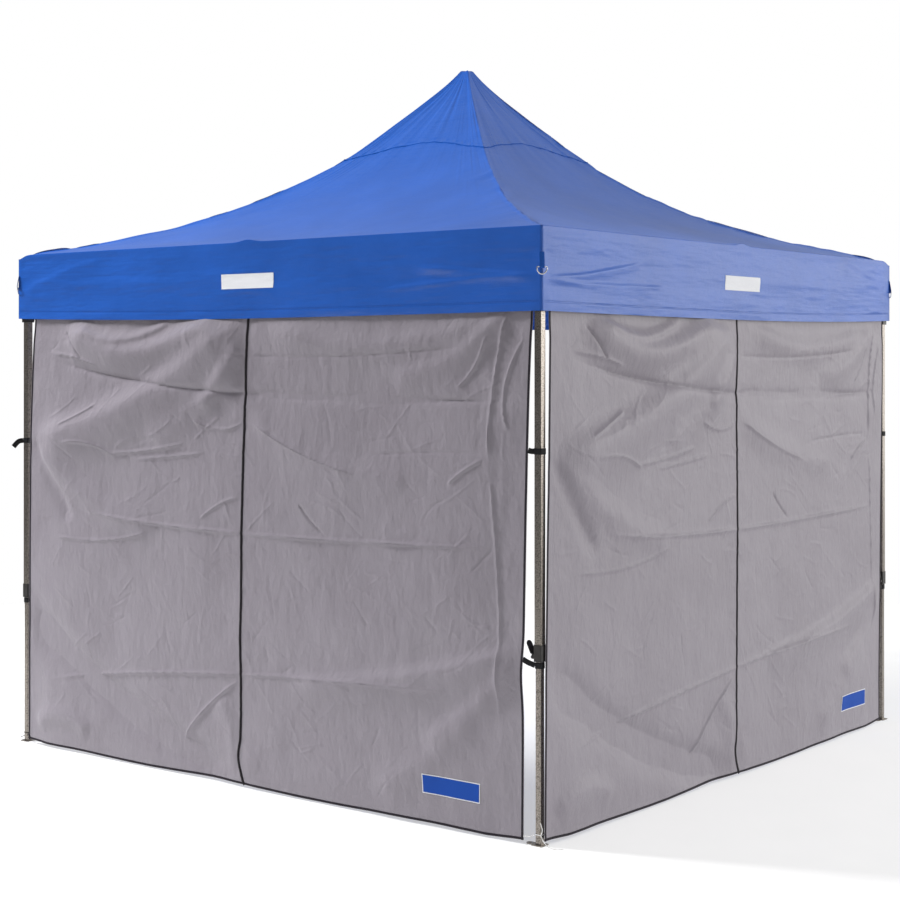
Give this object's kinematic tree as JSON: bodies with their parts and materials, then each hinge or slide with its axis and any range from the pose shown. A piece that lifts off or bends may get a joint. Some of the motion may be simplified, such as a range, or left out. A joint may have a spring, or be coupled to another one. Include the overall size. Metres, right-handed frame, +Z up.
{
  "type": "pop-up canopy",
  "caption": "Square pop-up shelter with a peaked fabric roof on a folding scissor frame, telescopic legs and zipped fabric side walls.",
  "frame": {"origin": "on the floor under the peak, at the centre of the footprint", "axes": "+Z up, the front wall faces -Y, the right wall faces +X, the back and left sides are open"},
  "size_m": [3, 3, 3.177],
  "materials": {
    "canopy_fabric": "matte",
    "wall_fabric": "matte",
    "frame_steel": "satin",
    "black_nylon": "satin",
    "control_nylon": "satin",
    "zip_metal": "satin"
  },
  "bodies": {
    "hub_upper": {"hub_upper": "black_nylon", "canopy": "canopy_fabric", "wall_front": "wall_fabric", "wall_right": "wall_fabric"},
    "hub_lower": {"hub_lower": "black_nylon"},
    "peak_pole": {"peak_pole": "frame_steel"},
    "centre_bar_falling_front": {"centre_bar_falling_front": "frame_steel"},
    "centre_bar_rising_front": {"centre_bar_rising_front": "frame_steel"},
    "mid_bracket_lower_front": {"mid_bracket_lower_front": "black_nylon"},
    "mid_bracket_upper_front": {"mid_bracket_upper_front": "black_nylon"},
    "side_bar_rising_front_right": {"side_bar_rising_front_right": "frame_steel"},
    "side_bar_falling_front_right": {"side_bar_falling_front_right": "frame_steel"},
    "side_bar_rising_front_left": {"side_bar_rising_front_left": "frame_steel"},
    "side_bar_falling_front_left": {"side_bar_falling_front_left": "frame_steel"},
    "centre_bar_falling_right": {"centre_bar_falling_right": "frame_steel"},
    "centre_bar_rising_right": {"centre_bar_rising_right": "frame_steel"},
    "mid_bracket_lower_right": {"mid_bracket_lower_right": "black_nylon"},
    "mid_bracket_upper_right": {"mid_bracket_upper_right": "black_nylon"},
    "side_bar_rising_right_back": {"side_bar_rising_right_back": "frame_steel"},
    "side_bar_falling_right_back": {"side_bar_falling_right_back": "frame_steel"},
    "side_bar_rising_right_front": {"side_bar_rising_right_front": "frame_steel"},
    "side_bar_falling_right_front": {"side_bar_falling_right_front": "frame_steel"},
    "centre_bar_falling_back": {"centre_bar_falling_back": "frame_steel"},
    "centre_bar_rising_back": {"centre_bar_rising_back": "frame_steel"},
    "mid_bracket_lower_back": {"mid_bracket_lower_back": "black_nylon"},
    "mid_bracket_upper_back": {"mid_bracket_upper_back": "black_nylon"},
    "side_bar_rising_back_left": {"side_bar_rising_back_left": "frame_steel"},
    "side_bar_falling_back_left": {"side_bar_falling_back_left": "frame_steel"},
    "side_bar_rising_back_right": {"side_bar_rising_back_right": "frame_steel"},
    "side_bar_falling_back_right": {"side_bar_falling_back_right": "frame_steel"},
    "centre_bar_falling_left": {"centre_bar_falling_left": "frame_steel"},
    "centre_bar_rising_left": {"centre_bar_rising_left": "frame_steel"},
    "mid_bracket_lower_left": {"mid_bracket_lower_left": "black_nylon"},
    "mid_bracket_upper_left": {"mid_bracket_upper_left": "black_nylon"},
    "side_bar_rising_left_front": {"side_bar_rising_left_front": "frame_steel"},
    "side_bar_falling_left_front": {"side_bar_falling_left_front": "frame_steel"},
    "side_bar_rising_left_back": {"side_bar_rising_left_back": "frame_steel"},
    "side_bar_falling_left_back": {"side_bar_falling_left_back": "frame_steel"},
    "leg_outer_front_right": {"leg_outer_front_right": "frame_steel"},
    "leg_inner_front_right": {"leg_inner_front_right": "frame_steel"},
    "corner_slider_front_right": {"corner_slider_front_right": "black_nylon"},
    "slider_lock_front_right": {"slider_lock_front_right": "control_nylon"},
    "height_lever_front_right": {"height_lever_front_right": "control_nylon"},
    "leg_outer_back_right": {"leg_outer_back_right": "frame_steel"},
    "leg_inner_back_right": {"leg_inner_back_right": "frame_steel"},
    "corner_slider_back_right": {"corner_slider_back_right": "black_nylon"},
    "slider_lock_back_right": {"slider_lock_back_right": "control_nylon"},
    "height_lever_back_right": {"height_lever_back_right": "control_nylon"},
    "leg_outer_back_left": {"leg_outer_back_left": "frame_steel"},
    "leg_inner_back_left": {"leg_inner_back_left": "frame_steel"},
    "corner_slider_back_left": {"corner_slider_back_left": "black_nylon"},
    "slider_lock_back_left": {"slider_lock_back_left": "control_nylon"},
    "height_lever_back_left": {"height_lever_back_left": "control_nylon"},
    "leg_outer_front_left": {"leg_outer_front_left": "frame_steel"},
    "leg_inner_front_left": {"leg_inner_front_left": "frame_steel"},
    "corner_slider_front_left": {"corner_slider_front_left": "black_nylon"},
    "slider_lock_front_left": {"slider_lock_front_left": "control_nylon"},
    "height_lever_front_left": {"height_lever_front_left": "control_nylon"},
    "zip_pull_front": {"zip_pull_front": "zip_metal"},
    "zip_pull_right": {"zip_pull_right": "zip_metal"}
  },
  "joints": [
    {"name": "fold", "type": "hinge", "parent": "hub_upper", "child": "centre_bar_falling_front", "pos_m": [0, -0.038, 2.225], "axis": [1, 0, 0], "range_deg": [0, 78.5]},
    {"name": "fold_centre_rising_front", "type": "hinge", "parent": "centre_bar_falling_front", "child": "centre_bar_rising_front", "pos_m": [0, -0.737, 2.10803], "axis": [1, 0, 0], "range_deg": [-157.5, 0]},
    {"name": "fold_mid_lower_front", "type": "hinge", "parent": "centre_bar_falling_front", "child": "mid_bracket_lower_front", "pos_m": [0, -1.436, 1.99106], "axis": [1, 0, 0], "range_deg": [-79, 0]},
    {"name": "fold_mid_upper_front", "type": "hinge", "parent": "centre_bar_rising_front", "child": "mid_bracket_upper_front", "pos_m": [0, -1.436, 2.225], "axis": [1, 0, 0], "range_deg": [0, 79]},
    {"name": "fold_hub_lower", "type": "hinge", "parent": "centre_bar_rising_front", "child": "hub_lower", "pos_m": [0, -0.038, 1.99106], "axis": [1, 0, 0], "range_deg": [0, 79]},
    {"name": "fold_side_rising_front_right", "type": "hinge", "parent": "mid_bracket_lower_front", "child": "side_bar_rising_front_right", "pos_m": [0.032, -1.468, 1.99106], "axis": [0, 1, 0], "range_deg": [-79, 0]},
    {"name": "fold_side_falling_front_right", "type": "hinge", "parent": "mid_bracket_upper_front", "child": "side_bar_falling_front_right", "pos_m": [0.032, -1.468, 2.225], "axis": [0, 1, 0], "range_deg": [0, 79]},
    {"name": "fold_side_rising_front_left", "type": "hinge", "parent": "mid_bracket_lower_front", "child": "side_bar_rising_front_left", "pos_m": [-0.032, -1.468, 1.99106], "axis": [0, -1, 0], "range_deg": [-79, 0]},
    {"name": "fold_side_falling_front_left", "type": "hinge", "parent": "mid_bracket_upper_front", "child": "side_bar_falling_front_left", "pos_m": [-0.032, -1.468, 2.225], "axis": [0, -1, 0], "range_deg": [0, 79]},
    {"name": "fold_centre_falling_right", "type": "hinge", "parent": "hub_upper", "child": "centre_bar_falling_right", "pos_m": [0.038, 0, 2.225], "axis": [0, 1, 0], "range_deg": [0, 79]},
    {"name": "fold_centre_rising_right", "type": "hinge", "parent": "centre_bar_falling_right", "child": "centre_bar_rising_right", "pos_m": [0.737, 0, 2.10803], "axis": [0, 1, 0], "range_deg": [-157.5, 0]},
    {"name": "fold_mid_lower_right", "type": "hinge", "parent": "centre_bar_falling_right", "child": "mid_bracket_lower_right", "pos_m": [1.436, 0, 1.99106], "axis": [0, 1, 0], "range_deg": [-79, 0]},
    {"name": "fold_mid_upper_right", "type": "hinge", "parent": "centre_bar_rising_right", "child": "mid_bracket_upper_right", "pos_m": [1.436, 0, 2.225], "axis": [0, 1, 0], "range_deg": [0, 79]},
    {"name": "fold_side_rising_right_back", "type": "hinge", "parent": "mid_bracket_lower_right", "child": "side_bar_rising_right_back", "pos_m": [1.468, 0.032, 1.99106], "axis": [-1, 0, 0], "range_deg": [-79, 0]},
    {"name": "fold_side_falling_right_back", "type": "hinge", "parent": "mid_bracket_upper_right", "child": "side_bar_falling_right_back", "pos_m": [1.468, 0.032, 2.225], "axis": [-1, 0, 0], "range_deg": [0, 79]},
    {"name": "fold_side_rising_right_front", "type": "hinge", "parent": "mid_bracket_lower_right", "child": "side_bar_rising_right_front", "pos_m": [1.468, -0.032, 1.99106], "axis": [1, 0, 0], "range_deg": [-79, 0]},
    {"name": "fold_side_falling_right_front", "type": "hinge", "parent": "mid_bracket_upper_right", "child": "side_bar_falling_right_front", "pos_m": [1.468, -0.032, 2.225], "axis": [1, 0, 0], "range_deg": [0, 79]},
    {"name": "fold_centre_falling_back", "type": "hinge", "parent": "hub_upper", "child": "centre_bar_falling_back", "pos_m": [0, 0.038, 2.225], "axis": [-1, 0, 0], "range_deg": [0, 79]},
    {"name": "fold_centre_rising_back", "type": "hinge", "parent": "centre_bar_falling_back", "child": "centre_bar_rising_back", "pos_m": [0, 0.737, 2.10803], "axis": [-1, 0, 0], "range_deg": [-157.5, 0]},
    {"name": "fold_mid_lower_back", "type": "hinge", "parent": "centre_bar_falling_back", "child": "mid_bracket_lower_back", "pos_m": [0, 1.436, 1.99106], "axis": [-1, 0, 0], "range_deg": [-79, 0]},
    {"name": "fold_mid_upper_back", "type": "hinge", "parent": "centre_bar_rising_back", "child": "mid_bracket_upper_back", "pos_m": [0, 1.436, 2.225], "axis": [-1, 0, 0], "range_deg": [0, 79]},
    {"name": "fold_side_rising_back_left", "type": "hinge", "parent": "mid_bracket_lower_back", "child": "side_bar_rising_back_left", "pos_m": [-0.032, 1.468, 1.99106], "axis": [0, -1, 0], "range_deg": [-79, 0]},
    {"name": "fold_side_falling_back_left", "type": "hinge", "parent": "mid_bracket_upper_back", "child": "side_bar_falling_back_left", "pos_m": [-0.032, 1.468, 2.225], "axis": [0, -1, 0], "range_deg": [0, 79]},
    {"name": "fold_side_rising_back_right", "type": "hinge", "parent": "mid_bracket_lower_back", "child": "side_bar_rising_back_right", "pos_m": [0.032, 1.468, 1.99106], "axis": [0, 1, 0], "range_deg": [-79, 0]},
    {"name": "fold_side_falling_back_right", "type": "hinge", "parent": "mid_bracket_upper_back", "child": "side_bar_falling_back_right", "pos_m": [0.032, 1.468, 2.225], "axis": [0, 1, 0], "range_deg": [0, 79]},
    {"name": "fold_centre_falling_left", "type": "hinge", "parent": "hub_upper", "child": "centre_bar_falling_left", "pos_m": [-0.038, 0, 2.225], "axis": [0, -1, 0], "range_deg": [0, 79]},
    {"name": "fold_centre_rising_left", "type": "hinge", "parent": "centre_bar_falling_left", "child": "centre_bar_rising_left", "pos_m": [-0.737, 0, 2.10803], "axis": [0, -1, 0], "range_deg": [-157.5, 0]},
    {"name": "fold_mid_lower_left", "type": "hinge", "parent": "centre_bar_falling_left", "child": "mid_bracket_lower_left", "pos_m": [-1.436, 0, 1.99106], "axis": [0, -1, 0], "range_deg": [-79, 0]},
    {"name": "fold_mid_upper_left", "type": "hinge", "parent": "centre_bar_rising_left", "child": "mid_bracket_upper_left", "pos_m": [-1.436, 0, 2.225], "axis": [0, -1, 0], "range_deg": [0, 79]},
    {"name": "fold_side_rising_left_front", "type": "hinge", "parent": "mid_bracket_lower_left", "child": "side_bar_rising_left_front", "pos_m": [-1.468, -0.032, 1.99106], "axis": [1, 0, 0], "range_deg": [-79, 0]},
    {"name": "fold_side_falling_left_front", "type": "hinge", "parent": "mid_bracket_upper_left", "child": "side_bar_falling_left_front", "pos_m": [-1.468, -0.032, 2.225], "axis": [1, 0, 0], "range_deg": [0, 79]},
    {"name": "fold_side_rising_left_back", "type": "hinge", "parent": "mid_bracket_lower_left", "child": "side_bar_rising_left_back", "pos_m": [-1.468, 0.032, 1.99106], "axis": [-1, 0, 0], "range_deg": [-79, 0]},
    {"name": "fold_side_falling_left_back", "type": "hinge", "parent": "mid_bracket_upper_left", "child": "side_bar_falling_left_back", "pos_m": [-1.468, 0.032, 2.225], "axis": [-1, 0, 0], "range_deg": [0, 79]},
    {"name": "fold_leg_front_right", "type": "hinge", "parent": "side_bar_rising_front_right", "child": "leg_outer_front_right", "pos_m": [1.43, -1.468, 2.225], "axis": [0, 1, 0], "range_deg": [0, 79]},
    {"name": "fold_slider_front_right", "type": "hinge", "parent": "side_bar_falling_front_right", "child": "corner_slider_front_right", "pos_m": [1.43, -1.468, 1.99106], "axis": [0, 1, 0], "range_deg": [-79, 0]},
    {"name": "leg_height_front_right", "type": "slide", "parent": "leg_outer_front_right", "child": "leg_inner_front_right", "axis": [0, 0, 1], "range_m": [0, 0.55]},
    {"name": "height_lever_front_right", "type": "hinge", "parent": "leg_outer_front_right", "child": "height_lever_front_right", "pos_m": [1.443, -1.468, 0.69], "axis": [0, -1, 0], "range_deg": [0, 40], "stiffness_Nm_per_rad": 0.5},
    {"name": "slider_lock_front_right", "type": "slide", "parent": "corner_slider_front_right", "child": "slider_lock_front_right", "axis": [-1, 0, 0], "range_m": [0, 0.008], "stiffness_N_per_m": 200},
    {"name": "fold_leg_back_right", "type": "hinge", "parent": "side_bar_rising_right_back", "child": "leg_outer_back_right", "pos_m": [1.468, 1.43, 2.225], "axis": [-1, 0, 0], "range_deg": [0, 79]},
    {"name": "fold_slider_back_right", "type": "hinge", "parent": "side_bar_falling_right_back", "child": "corner_slider_back_right", "pos_m": [1.468, 1.43, 1.99106], "axis": [-1, 0, 0], "range_deg": [-79, 0]},
    {"name": "leg_height_back_right", "type": "slide", "parent": "leg_outer_back_right", "child": "leg_inner_back_right", "axis": [0, 0, 1], "range_m": [0, 0.55]},
    {"name": "height_lever_back_right", "type": "hinge", "parent": "leg_outer_back_right", "child": "height_lever_back_right", "pos_m": [1.468, 1.443, 0.69], "axis": [1, 0, 0], "range_deg": [0, 40], "stiffness_Nm_per_rad": 0.5},
    {"name": "slider_lock_back_right", "type": "slide", "parent": "corner_slider_back_right", "child": "slider_lock_back_right", "axis": [0, -1, 0], "range_m": [0, 0.008], "stiffness_N_per_m": 200},
    {"name": "fold_leg_back_left", "type": "hinge", "parent": "side_bar_rising_back_left", "child": "leg_outer_back_left", "pos_m": [-1.43, 1.468, 2.225], "axis": [0, -1, 0], "range_deg": [0, 79]},
    {"name": "fold_slider_back_left", "type": "hinge", "parent": "side_bar_falling_back_left", "child": "corner_slider_back_left", "pos_m": [-1.43, 1.468, 1.99106], "axis": [0, -1, 0], "range_deg": [-79, 0]},
    {"name": "leg_height_back_left", "type": "slide", "parent": "leg_outer_back_left", "child": "leg_inner_back_left", "axis": [0, 0, 1], "range_m": [0, 0.55]},
    {"name": "height_lever_back_left", "type": "hinge", "parent": "leg_outer_back_left", "child": "height_lever_back_left", "pos_m": [-1.443, 1.468, 0.69], "axis": [0, 1, 0], "range_deg": [0, 40], "stiffness_Nm_per_rad": 0.5},
    {"name": "slider_lock_back_left", "type": "slide", "parent": "corner_slider_back_left", "child": "slider_lock_back_left", "axis": [1, 0, 0], "range_m": [0, 0.008], "stiffness_N_per_m": 200},
    {"name": "fold_leg_front_left", "type": "hinge", "parent": "side_bar_rising_left_front", "child": "leg_outer_front_left", "pos_m": [-1.468, -1.43, 2.225], "axis": [1, 0, 0], "range_deg": [0, 79]},
    {"name": "fold_slider_front_left", "type": "hinge", "parent": "side_bar_falling_left_front", "child": "corner_slider_front_left", "pos_m": [-1.468, -1.43, 1.99106], "axis": [1, 0, 0], "range_deg": [-79, 0]},
    {"name": "leg_height_front_left", "type": "slide", "parent": "leg_outer_front_left", "child": "leg_inner_front_left", "axis": [0, 0, 1], "range_m": [0, 0.55]},
    {"name": "height_lever_front_left", "type": "hinge", "parent": "leg_outer_front_left", "child": "height_lever_front_left", "pos_m": [-1.468, -1.443, 0.69], "axis": [-1, 0, 0], "range_deg": [0, 40], "stiffness_Nm_per_rad": 0.5},
    {"name": "slider_lock_front_left", "type": "slide", "parent": "corner_slider_front_left", "child": "slider_lock_front_left", "axis": [0, 1, 0], "range_m": [0, 0.008], "stiffness_N_per_m": 200},
    {"name": "fold_peak_pole", "type": "slide", "parent": "hub_upper", "child": "peak_pole", "axis": [0, 0, 1], "range_m": [-0.805, 0]},
    {"name": "zip_front", "type": "slide", "parent": "mid_bracket_upper_front", "child": "zip_pull_front", "axis": [0, 0, 1], "range_m": [0, 1.75]},
    {"name": "zip_right", "type": "slide", "parent": "mid_bracket_upper_right", "child": "zip_pull_right", "axis": [0, 0, 1], "range_m": [0, 1.75]}
  ],
  "couplings": [
    {"joint": "fold_centre_rising_front", "follows": "fold", "ratio": -2},
    {"joint": "fold_mid_lower_front", "follows": "fold", "ratio": -1},
    {"joint": "fold_mid_upper_front", "follows": "fold", "ratio": 1},
    {"joint": "fold_hub_lower", "follows": "fold", "ratio": 1},
    {"joint": "fold_side_rising_front_right", "follows": "fold", "ratio": -1},
    {"joint": "fold_side_falling_front_right", "follows": "fold", "ratio": 1},
    {"joint": "fold_side_rising_front_left", "follows": "fold", "ratio": -1},
    {"joint": "fold_side_falling_front_left", "follows": "fold", "ratio": 1},
    {"joint": "fold_centre_falling_right", "follows": "fold", "ratio": 1},
    {"joint": "fold_centre_rising_right", "follows": "fold", "ratio": -2},
    {"joint": "fold_mid_lower_right", "follows": "fold", "ratio": -1},
    {"joint": "fold_mid_upper_right", "follows": "fold", "ratio": 1},
    {"joint": "fold_side_rising_right_back", "follows": "fold", "ratio": -1},
    {"joint": "fold_side_falling_right_back", "follows": "fold", "ratio": 1},
    {"joint": "fold_side_rising_right_front", "follows": "fold", "ratio": -1},
    {"joint": "fold_side_falling_right_front", "follows": "fold", "ratio": 1},
    {"joint": "fold_centre_falling_back", "follows": "fold", "ratio": 1},
    {"joint": "fold_centre_rising_back", "follows": "fold", "ratio": -2},
    {"joint": "fold_mid_lower_back", "follows": "fold", "ratio": -1},
    {"joint": "fold_mid_upper_back", "follows": "fold", "ratio": 1},
    {"joint": "fold_side_rising_back_left", "follows": "fold", "ratio": -1},
    {"joint": "fold_side_falling_back_left", "follows": "fold", "ratio": 1},
    {"joint": "fold_side_rising_back_right", "follows": "fold", "ratio": -1},
    {"joint": "fold_side_falling_back_right", "follows": "fold", "ratio": 1},
    {"joint": "fold_centre_falling_left", "follows": "fold", "ratio": 1},
    {"joint": "fold_centre_rising_left", "follows": "fold", "ratio": -2},
    {"joint": "fold_mid_lower_left", "follows": "fold", "ratio": -1},
    {"joint": "fold_mid_upper_left", "follows": "fold", "ratio": 1},
    {"joint": "fold_side_rising_left_front", "follows": "fold", "ratio": -1},
    {"joint": "fold_side_falling_left_front", "follows": "fold", "ratio": 1},
    {"joint": "fold_side_rising_left_back", "follows": "fold", "ratio": -1},
    {"joint": "fold_side_falling_left_back", "follows": "fold", "ratio": 1},
    {"joint": "fold_leg_front_right", "follows": "fold", "ratio": 1},
    {"joint": "fold_slider_front_right", "follows": "fold", "ratio": -1},
    {"joint": "fold_leg_back_right", "follows": "fold", "ratio": 1},
    {"joint": "fold_slider_back_right", "follows": "fold", "ratio": -1},
    {"joint": "fold_leg_back_left", "follows": "fold", "ratio": 1},
    {"joint": "fold_slider_back_left", "follows": "fold", "ratio": -1},
    {"joint": "fold_leg_front_left", "follows": "fold", "ratio": 1},
    {"joint": "fold_slider_front_left", "follows": "fold", "ratio": -1},
    {"joint": "fold_peak_pole", "follows": "fold", "m_per_rad": -0.58391}
  ]
}
